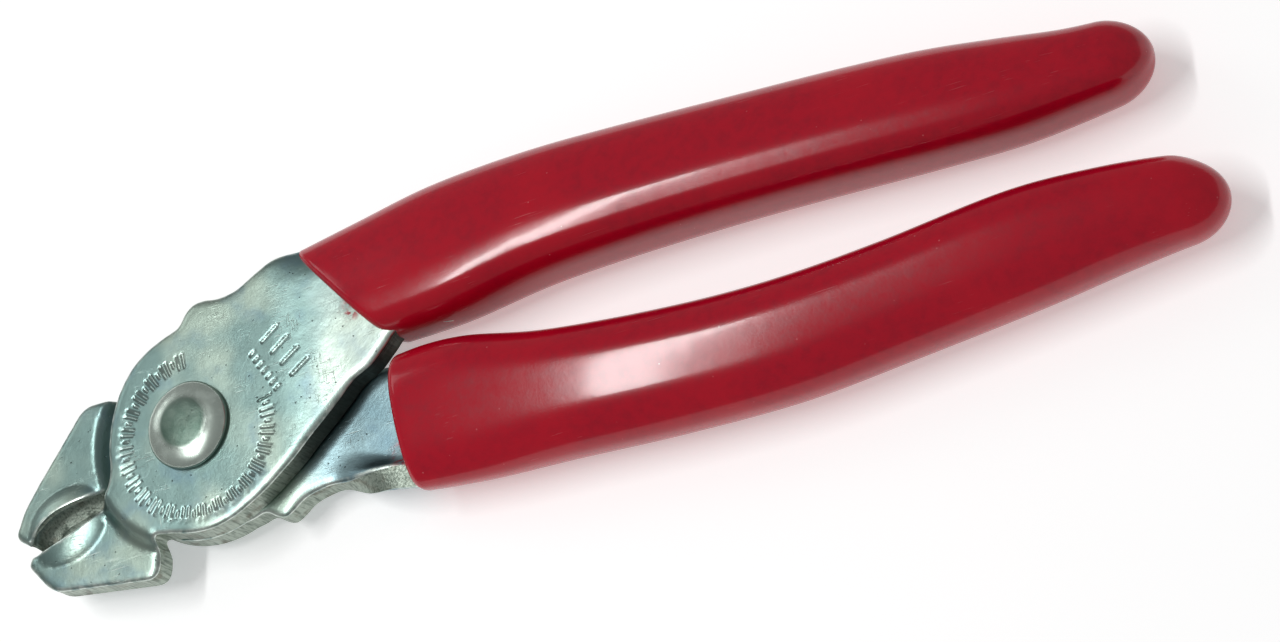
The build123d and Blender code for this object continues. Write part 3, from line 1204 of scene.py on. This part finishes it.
@dataclass
class Rivet:
    """Headed rivet: a domed head at the front, a shank through both plates and a low tail at the back."""

    node: str
    body: str
    low: float
    high: float
    head_radius: float
    front_face: float
    back_face: float
    shank: float = 4.85
    turns: int = 120
    top_fade: Point = (3.3, 2.2)
    waviness: float = 0.035

    def profile(self) -> list[Point]:
        """Half section from the tail's middle round to the head's top.

        Returns:
            Radius and height of each point.
        """
        low, face, edge = self.low, self.front_face, self.head_radius
        tail = edge - 0.5
        under = [(0.02, low + 0.02), (2.4, low), (4.0, low + 0.12), (5.3, low + 0.85), (tail, 2.2)]
        back = through(under, 0.3)
        rim = [(tail + 0.05, self.back_face - 0.12), (tail - 0.3, self.back_face - 0.04)]
        shank = [(self.shank, self.back_face - 0.02), (self.shank, face + 0.02)]
        lift = self.high - face
        shoulder = [(0.0, 0.26), (0.3, 0.48), (1.1, 0.66), (2.3, 0.81), (3.6, 0.93)]
        dome = [(edge - inset, face + share * lift) for inset, share in shoulder]
        crown = [(1.6, self.high - 0.03), (0.02, self.high)]
        head = through([(edge - 0.35, face + 0.03), *dome, *crown], 0.22)
        return back + rim + shank + head

    def build(self) -> bpy.types.Object:
        """Makes the rivet's mesh, a little out of round as a set rivet is."""
        run = self.profile()
        turns = np.arange(self.turns) / self.turns * 2 * math.pi
        rings = []
        for radius, height in run:
            reach = radius * (1 + 0.006 * np.sin(2 * turns + height) + 0.004 * np.sin(5 * turns + 1))
            flat = np.full(self.turns, height)
            rings.append(np.column_stack([reach * np.cos(turns), reach * np.sin(turns), flat]))
        points = np.vstack(rings)
        reach = np.hypot(*points[:, :2].T)
        points[:, 2] += self.waviness * ripple(points, 0.5, 1.0) * smooth(self.head_radius - reach, 0, 3)
        piece = mesh_object("pivot_rivet_set", points, tube_faces(len(run), self.turns), sharp=50)
        outer, inner = (self.head_radius - inset for inset in self.top_fade)
        number_layer(piece, "top", 1 - smooth(reach, outer, inner))
        return piece


@dataclass
class Grip:
    """Dipped vinyl sleeve: a run of rounded sections from a rolled rim to a blunt nose."""

    name: str
    node: str
    body: str
    start: float
    end: float
    middle_height: float
    half_depth: float
    stations: list[tuple[float, float, float, float]]
    rim_slope: float
    rim_middle: float
    crown_slope: float
    squareness: float
    rim_offset: float = 0.0
    rim_roll: float = 1.5
    mouth_depth: float = 0.6
    mouth_inset: float = 1.6
    slope_end: Point = (3.0, 0.22)
    nose: float = 6.5
    nose_limit: float = 0.999
    crowding: float = 1.8
    sections: int = 190
    around: int = 96

    def __post_init__(self) -> None:
        """Draws smooth curves through the stations' offsets, widths and depth shares."""
        spread = 1 / self.end
        curves = [through([(row[0], row[i] * spread) for row in self.stations], 0.004) for i in (1, 2, 3)]
        self.curves = [np.array(curve) / (1, spread) for curve in curves]

    def station(self, x: np.ndarray, column: int) -> np.ndarray:
        """Offset, width or depth share of the sleeve at places along it."""
        curve = self.curves[column - 1]
        return np.interp((x - self.start) / (self.end - self.start), curve[:, 0], curve[:, 1])

    def section(self, x: float, swell: float, slope: float) -> np.ndarray:
        """One closed section of the sleeve.

        Args:
            x: Where the section crosses the rim's middle.
            swell: Share of the full section, less than one on the rolled rim.
            slope: How much the section leans back across the handle.

        Returns:
            Its points.
        """
        turns = np.arange(self.around) / self.around * 2 * math.pi
        c, s = np.cos(turns), np.sin(turns)
        power = 2 / self.squareness
        u, v = np.sign(c) * np.abs(c) ** power, np.sign(s) * np.abs(s) ** power
        along = np.full(self.around, x)
        for _ in range(3):
            offset, width = self.station(along, 1), self.station(along, 2)
            half = self.half_depth * self.station(along, 3)
            towards_end = (along - self.end + self.nose) / self.nose
            blunt = np.sqrt(1 - np.clip(towards_end, 0, self.nose_limit) ** 2)
            across = offset + u * (width / 2 * blunt - (1 - swell) * self.rim_roll)
            height = v * (half * blunt - (1 - swell) * self.rim_roll)
            along = x - slope * (across - self.rim_middle)
        crest = self.crown_slope * (across - offset) * (v > 0) * v
        return np.column_stack([along, across, self.middle_height + height + crest])

    def build(self) -> bpy.types.Object:
        """Makes the sleeve's mesh."""
        rim, slope = self.start + self.rim_offset, self.rim_slope
        depth, inset = self.mouth_depth, self.mouth_inset
        rings = [
            self.section(rim + depth - depth * share, -inset + inset * share, slope)
            for share in (0.0, 0.25, 0.5, 0.75)
        ]
        for angle in np.radians(np.arange(0, 91, 9)):
            back = self.rim_roll * (1 - math.cos(angle))
            rings.append(self.section(rim + back, math.sin(angle), slope))
        first = rim + self.rim_roll
        level_from, level_at = rim + self.slope_end[0], rim + self.slope_end[1] * (self.end - self.start)
        for i in range(1, self.sections + 1):
            x = first + (self.end - first) * (1 - (1 - i / self.sections) ** self.crowding)
            rings.append(self.section(x, 1.0, slope * float(1 - smooth(x, level_from, level_at))))
        points = np.vstack(rings)
        push = 0.06 * ripple(points, 0.07, 5.0) + 0.004 * ripple(points, 0.30, 8.0)
        centre = np.repeat([ring.mean(0) for ring in rings], self.around, axis=0)
        away = (points - centre) * (0, 1, 1)
        away /= np.linalg.norm(away, axis=1)[:, None] + 1e-9
        return mesh_object(self.name, points + away * push[:, None], tube_faces(len(rings), self.around))


@dataclass
class FencingPliers:
    """The whole tool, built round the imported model's boxes."""

    record: dict

    def __post_init__(self) -> None:
        """Takes the heights and reaches that every piece shares from the frame."""
        front_low, front_high = (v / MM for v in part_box("front_lever"))
        rear_low, rear_high = (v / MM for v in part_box("rear_lever"))
        seat = next(m for m in self.record["mounts"] if m["name"] == "ring_seat")["pos_m"]
        self.mouth = Mouth((seat[0] / MM, seat[1] / MM), seat[2] / MM)
        self.front_face = front_high.z
        self.rear_back = rear_low.z
        self.front_reach = front_high.x
        self.rear_reach = rear_high.x

    def front_outline(self) -> list[Point]:
        """Blank of the front lever: upper handle, lug, plate and lower jaw.

        Returns:
            The outline's points in order.
        """
        reach = self.front_reach
        handle_top = through(
            [(reach - 3, 16.6), (117, 19.3), (90, 21.9), (60, 23.9), (44, 23.7), (32, 22.9), (25, 22.0)]
            + [(20.4, 21.9), (16.8, 21.9), (13.4, 20.6), (9.8, 19.0), (6.6, 18.7), (4.4, 19.1), (2.4, 18.9)]
            + [(0.9, 17.8), (-0.4, 16.2), (-3.0, 15.3), (-5.8, 14.2), (-8.6, 12.4), (-10.9, 9.8)]
            + [(-12.6, 6.8), (-13.7, 3.6), (-14.3, 0.4), (-14.4, -2.6), (-15.0, -4.9), (-16.3, -6.8)]
        )
        lip = through(
            [(-16.3, -6.8), (-19.0, -8.6), (-22.2, -10.0), (-25.4, -10.9), (-28.4, -11.4), (-30.5, -11.6)]
        )
        tip = rounded(
            [(-30.5, -11.6, 0), (-31.2, -12.9, 1.2), (-27.4, -18.0, 5.2), (-9.1, -20.8, 2.4)]
            + [(-8.2, -14.7, 0.8), (-5.2, -15.3, 0)]
        )
        inner = through(
            [(-5.2, -15.3), (-1.6, -16.2), (2.0, -16.4), (5.4, -15.7), (8.3, -14.5), (11.0, -13.1)]
            + [(13.8, -11.3), (16.5, -9.4), (19.3, -7.0), (22.0, -4.8), (24.8, -2.4), (27.2, -0.4)]
            + [(30.2, 1.0), (32.6, 3.0), (35.4, 5.2), (44, 5.4), (60, 7.4), (90, 7.2), (117, 6.0)]
            + [(reach - 5, 6.4)]
        )
        return handle_top + lip + tip + inner + [(reach - 1.5, 8.2), (reach, 12.0), (reach - 1, 15.6)]

    def rear_outline(self) -> list[Point]:
        """Blank of the rear lever: lower handle, lug, plate and upper jaw.

        Returns:
            The outline's points in order.
        """
        reach = self.rear_reach
        handle_top = through(
            [(reach - 5, -6.2), (128, -4.6), (109, -5.6), (92, -6.1), (75, -5.1), (58, -2.9), (46, 0.2)]
            + [(38, 1.2), (31, 1.6), (24, 3.6), (17, 7.4), (10.6, 10.4)]
        )
        plate = arc((0, 0), 13.7, 56, 140)
        jaw = rounded(
            [(-10.4, 8.9, 0), (-15.0, 9.3, 3), (-19.2, 9.5, 4.4), (-23.6, 4.6, 6), (-28.2, -0.4, 9)]
            + [(-31.2, -4.0, 9), (-33.1, -7.9, 1.5), (-30.6, -9.8, 0)]
        )
        lip = through(
            [(-30.6, -9.8), (-28.5, -7.8), (-25.9, -6.4), (-22.6, -5.6), (-19.0, -5.1), (-15.7, -4.6)]
        )
        hidden = through([(-15.7, -4.6), (-14.7, -5.5), (-14.3, -7.4)])
        belly = arc((0, 0), 16.3, 208, 288)
        handle_low = through(
            [(6.4, -15.3), (8.5, -14.9), (10.4, -16.1), (11.7, -16.5), (13.1, -15.9), (15.0, -14.6)]
            + [(17.2, -13.9), (19.8, -13.6), (22.6, -14.4), (26, -15.7), (30, -17.2), (33.4, -17.9)]
            + [(39.4, -18.0), (46, -18.3), (58, -18.8), (75, -19.6), (92, -20.0), (109, -18.9)]
            + [(128, -17.0), (reach - 5, -15.4)]
        )
        end = [(reach - 1, -14.6), (reach - 1, -8.4)]
        return handle_top + plate + jaw + lip + hidden + belly + handle_low + end

    def levers(self) -> list[Lever]:
        """The two levers.

        Returns:
            The front lever and the rear one.
        """
        sheet = Lever.sheet
        front = Lever(
            name="front_lever_pressing",
            node="front_lever",
            body="front_half",
            outline=self.front_outline(),
            turn=Turn.DOWN,
            plate_mid=self.front_face - sheet / 2,
            mouth=self.mouth,
            step=(16.6, 19.4),
            visible_turn=(14.0, 25.0, 30.0),
            hidden_turn=(24.0, 34.0, 38.0),
            inner_turn=(37.0, 46.0, 84.0),
            neck=(15.0, 27.0, -0.6),
            stamp=Stamp(),
            smears=[((28.6, 10.4), 2.4)],
        )
        rear = Lever(
            name="rear_lever_pressing",
            node="rear_lever",
            body="rear_half",
            outline=self.rear_outline(),
            turn=Turn.UP,
            plate_mid=self.rear_back + sheet / 2,
            mouth=self.mouth,
            step=(15.6, 18.0),
            visible_turn=(19.5, 31.0, 86.0),
            hidden_turn=(33.0, 38.0, 4.0),
            inner_turn=(37.0, 46.0, 84.0),
            neck=(12.0, 24.0, -0.8),
            smears=[((32.0, -12.6), 3.0)],
            back_lip=1.4,
        )
        return [front, rear]

    def rivet(self) -> Rivet:
        """The pivot."""
        low, high = (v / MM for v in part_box("pivot_rivet"))
        return Rivet("pivot_rivet", "front_half", low.z, high.z, high.x, self.front_face, self.rear_back)

    def grips(self) -> list[Grip]:
        """The two sleeves.

        Returns:
            The upper sleeve and the lower one.
        """
        upper_low, upper_high = (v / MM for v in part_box("upper_grip"))
        lower_low, lower_high = (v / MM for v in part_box("lower_grip"))
        upper = Grip(
            name="upper_grip_vinyl",
            node="upper_grip",
            body="front_half",
            start=upper_high.x - 133.0,
            end=upper_high.x,
            middle_height=(upper_low.z + upper_high.z) / 2,
            half_depth=(upper_high.z - upper_low.z) / 2,
            stations=[
                (0.00, 13.5, 17.6, 0.80), (0.11, 14.6, 19.8, 0.86), (0.20, 15.5, 21.2, 0.94),
                (0.32, 16.4, 19.6, 1.00), (0.55, 15.2, 17.4, 1.00), (0.76, 13.1, 16.2, 1.00),
                (0.85, 11.8, 14.4, 0.96), (0.92, 11.2, 12.0, 0.86), (0.97, 11.2, 10.8, 0.76),
                (1.00, 11.2, 10.2, 0.72),
            ],
            rim_slope=0.76,
            rim_middle=12.3,
            rim_offset=10.2,
            crown_slope=-0.13,
            squareness=2.9,
        )
        lower = Grip(
            name="lower_grip_vinyl",
            node="lower_grip",
            body="rear_half",
            start=lower_low.x,
            end=lower_high.x,
            middle_height=(lower_low.z + lower_high.z) / 2,
            half_depth=(lower_high.z - lower_low.z) / 2,
            stations=[
                (0.00, -8.5, 20.4, 0.80), (0.05, -8.8, 21.4, 0.88), (0.10, -9.4, 21.4, 0.94),
                (0.20, -11.2, 19.0, 1.00), (0.34, -12.9, 17.9, 1.00), (0.48, -13.7, 17.3, 1.00),
                (0.62, -12.8, 16.6, 1.00), (0.78, -11.2, 16.2, 1.00), (0.87, -10.9, 14.2, 0.94),
                (0.94, -11.1, 12.2, 0.82), (0.98, -11.6, 11.0, 0.72), (1.00, -11.7, 10.6, 0.70),
            ],
            rim_slope=0.0,
            rim_middle=-8.5,
            crown_slope=0.13,
            squareness=2.35,
        )
        return [upper, lower]

    def build(self) -> None:
        """Makes every piece, dresses it and fixes it to its body."""
        plate, cut = ZincPlate().make(), CutEdge().make()
        steel, vinyl = RivetSteel().make(), DippedVinyl().make()
        for lever in self.levers():
            self.fit(lever.build(), lever.node, lever.body, "plated_steel", [plate, cut])
        rivet = self.rivet()
        self.fit(rivet.build(), rivet.node, rivet.body, "rivet_steel", [steel])
        for grip in self.grips():
            self.fit(grip.build(), grip.node, grip.body, "grip_vinyl", [vinyl])

    @staticmethod
    def fit(
        piece: bpy.types.Object, node: str, body: str, slot: str, finishes: list[bpy.types.Material]
    ) -> None:
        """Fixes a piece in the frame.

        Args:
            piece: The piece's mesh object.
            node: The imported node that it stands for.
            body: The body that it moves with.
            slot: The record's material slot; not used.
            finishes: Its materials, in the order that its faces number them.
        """
        for finish in finishes:
            piece.data.materials.append(finish)
        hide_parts(node)
        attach(piece, body)
        LOG.info("%s: %d faces, rides on %s", piece.name, len(piece.data.polygons), body)


@dataclass(frozen=True)
class SoftBox:
    """Rectangular light, with its distance in millimetres, its face in metres and its power in watts."""

    name: str
    way: tuple[float, float, float]
    width: float
    height: float
    power: float
    distance: float = 900.0

    def hang(self, centre: Vector) -> None:
        """Hangs it its own way from a point, which it faces.

        Args:
            centre: What it points at.
        """
        data = bpy.data.lights.new(self.name, "AREA")
        data.shape, data.size, data.size_y = "RECTANGLE", self.width, self.height
        data.energy = self.power
        box = bpy.data.objects.new(self.name, data)
        box.location = centre + Vector(self.way).normalized() * self.distance * MM
        box.rotation_euler = Vector(self.way).to_track_quat("Z", "Y").to_euler()
        bpy.context.scene.collection.objects.link(box)


@dataclass(frozen=True)
class Studio:
    """White sweep, soft boxes and the camera."""

    azimuth: float = 40.2
    elevation: float = 60.2
    distance: float = 424.0
    roll: float = 9.65
    lens: float = 84.8
    aim_shift: tuple[float, float, float] = (10.2, -6.0, 0.0)
    floor_size: float = 6000.0
    floor_gap: float = 0.12
    ambient: float = 0.28
    boxes: tuple[SoftBox, ...] = (
        SoftBox("key_box", (-0.34, 0.04, 0.94), 0.60, 0.045, 3.7),
        SoftBox("back_box", (-0.7, 0.5, 0.5), 0.30, 0.30, 0.5),
    )

    def build(self) -> None:
        """Makes everything that isn't the tool."""
        low, high = CAD_BOX
        centre = (low + high) / 2
        self.floor(low.z)
        for box in self.boxes:
            box.hang(centre)
        self.world()
        self.camera(centre + Vector(self.aim_shift) * MM)

    def floor(self, height: float) -> None:
        """Lays the sweep just under the tool.

        Args:
            height: Height of the lowest point of the tool, in metres.
        """
        half = self.floor_size / 2
        corners = np.array([(-half, -half, 0), (half, -half, 0), (half, half, 0), (-half, half, 0)], float)
        corners[:, 2] = height / MM - self.floor_gap
        floor = mesh_object("studio_sweep", corners, [(0, 1, 2, 3)])
        floor.data.materials.append(StudioFloor().make())

    def world(self) -> None:
        """Even light all round and a plain view transform."""
        world = bpy.data.worlds.new("studio")
        world.use_nodes = True
        backdrop = world.node_tree.nodes["Background"]
        backdrop.inputs["Color"].default_value = (1.0, 1.0, 1.0, 1.0)
        backdrop.inputs["Strength"].default_value = self.ambient
        bpy.context.scene.world = world
        bpy.context.scene.view_settings.view_transform = "Standard"

    def camera(self, aim: Vector) -> None:
        """Sets up the camera that looks at a point.

        Args:
            aim: The point, in metres.
        """
        around, above = math.radians(self.azimuth), math.radians(self.elevation)
        level = math.cos(above)
        back = Vector((math.sin(around) * level, -math.cos(around) * level, math.sin(above)))
        side = Vector((0, 1, 0)).cross(back).normalized()
        up = back.cross(side)
        turn = math.radians(self.roll)
        up = up * math.cos(turn) + side * math.sin(turn)
        side = up.cross(back)
        data = bpy.data.cameras.new("camera")
        data.lens = self.lens
        data.clip_start, data.clip_end = 0.01, 20.0
        camera = bpy.data.objects.new("camera", data)
        turned = Matrix((side, up, back)).transposed().to_4x4()
        camera.matrix_world = Matrix.Translation(aim + back * self.distance * MM) @ turned
        bpy.context.scene.collection.objects.link(camera)
        bpy.context.scene.camera = camera


def main() -> None:
    """Builds the studio and the tool."""
    logging.basicConfig(level=logging.INFO, format="%(name)s: %(message)s")
    Studio().build()
    FencingPliers(frame["record"]).build()


if __name__ == "__main__":
    main()
